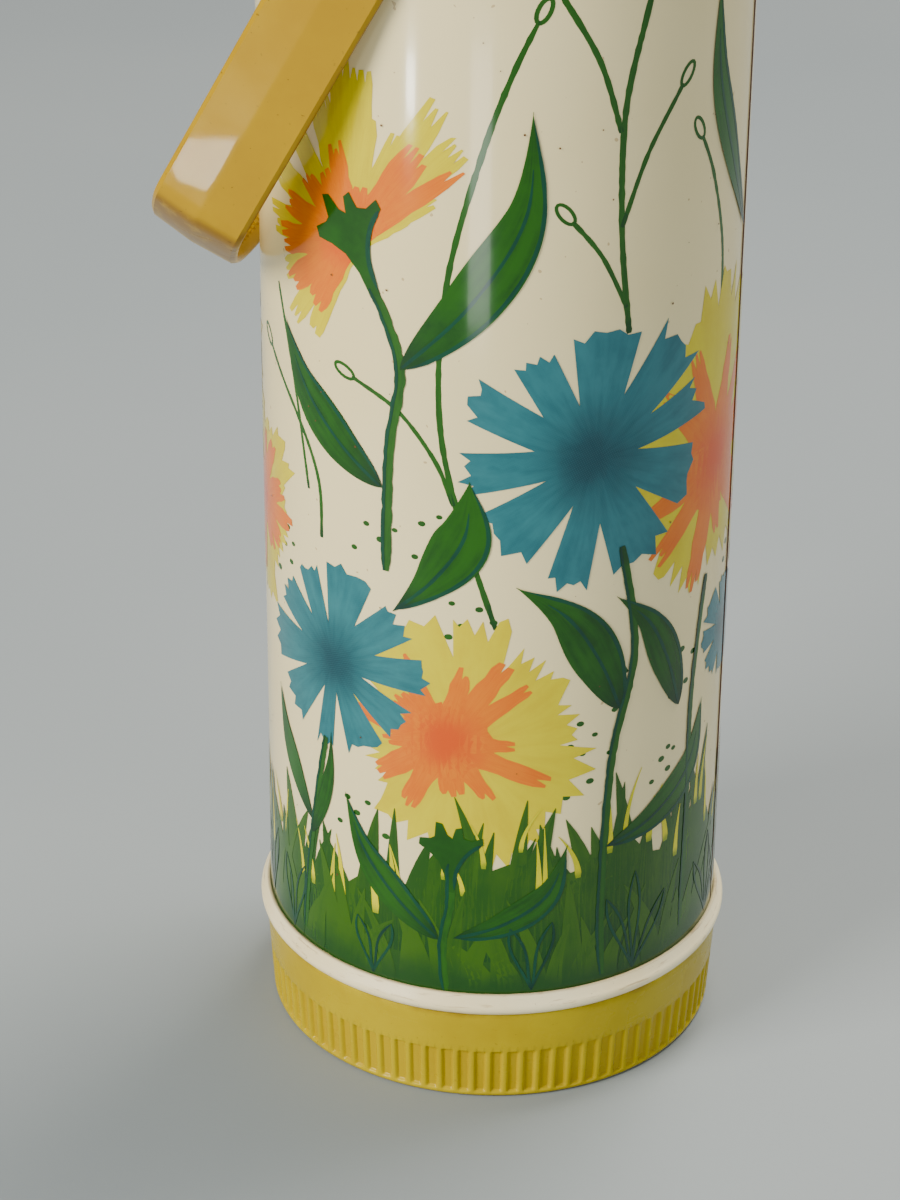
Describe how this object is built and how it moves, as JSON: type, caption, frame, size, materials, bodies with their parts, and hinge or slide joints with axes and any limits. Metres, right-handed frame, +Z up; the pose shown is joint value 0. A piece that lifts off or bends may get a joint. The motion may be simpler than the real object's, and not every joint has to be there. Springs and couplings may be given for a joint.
{
  "type": "pump pot",
  "caption": "Slim insulated pump pot with a flower-printed cream sleeve, fluted yellow base, swinging strap handle, spout and hinged lid with a push plate.",
  "frame": {"origin": "middle of the base's underside, on the table", "axes": "+Z up; -X to the spout, +X to the lid's hinge; Y along the handle's pivot axis"},
  "size_m": [0.1722, 0.1392, 0.4042],
  "materials": {
    "yellow_plastic": "moulded gloss, lightly scratched",
    "yellow_handle": "moulded gloss, scuffed at the bend",
    "cream_plastic": "aged cream, satin",
    "cream_gloss": "aged cream, gloss",
    "printed_sheet": "gloss lacquer over a flower print",
    "rubber_pad": "matt",
    "pale_rubber": "matt",
    "silvered_glass": "silvered",
    "fibre_pad": "felted",
    "pipe_plastic": "smooth",
    "bellows_plastic": "soft satin",
    "zinc_steel": "zinc plated",
    "chromed_pin": "polished"
  },
  "bodies": {
    "pot": {"foot_pad": "rubber_pad", "base_cup": "yellow_plastic", "bottom_ring": "cream_plastic", "body_sleeve": "printed_sheet", "refill_cushion": "rubber_pad", "refill_outer_glass": "silvered_glass", "refill_inner_glass": "silvered_glass", "refill_pads": "fibre_pad", "neck_gasket": "rubber_pad", "shoulder": "yellow_plastic", "mouth_ring": "cream_plastic", "mouth_screws": "zinc_steel", "pipe_holder": "cream_plastic", "holder_gasket": "rubber_pad", "dip_tube": "pipe_plastic", "delivery_pipe": "pipe_plastic", "spout_housing": "yellow_plastic", "spout_nozzle": "cream_plastic", "handle_pins": "chromed_pin", "hinge_pin": "zinc_steel"},
    "lid": {"lid_shell": "yellow_plastic", "lid_liner": "cream_plastic", "lid_gasket": "pale_rubber", "air_valve": "rubber_pad", "bellows": "bellows_plastic", "pump_spring": "zinc_steel", "lid_screws": "zinc_steel", "latch_pin": "zinc_steel"},
    "push_plate": {"pump_plate": "cream_gloss"},
    "latch": {"lid_latch": "cream_gloss"},
    "lock": {"lock_slider": "cream_gloss"},
    "handle": {"handle": "yellow_handle"}
  },
  "joints": [
    {"name": "handle_swing", "type": "hinge", "parent": "pot", "child": "handle", "pos_m": [0, 0, 0.358], "axis": [0, 1, 0], "range_deg": [0, 301.2]},
    {"name": "lid_hinge", "type": "hinge", "parent": "pot", "child": "lid", "pos_m": [0.068, 0, 0.3722], "axis": [0, 1, 0], "range_deg": [0, 105]},
    {"name": "pump_push", "type": "slide", "parent": "lid", "child": "push_plate", "axis": [0, 0, -1], "range_m": [0, 0.02], "stiffness_N_per_m": 1500, "springref_m": -0.006, "deforming": ["bellows", "pump_spring"]},
    {"name": "latch_tilt", "type": "hinge", "parent": "lid", "child": "latch", "pos_m": [-0.0595, 0, 0.383], "axis": [0, 1, 0], "range_deg": [0, 12], "stiffness_Nm_per_rad": 0.2, "springref_deg": -17.19},
    {"name": "lock_slide", "type": "slide", "parent": "lid", "child": "lock", "axis": [0, 1, 0], "range_m": [0, 0.008]}
  ]
}
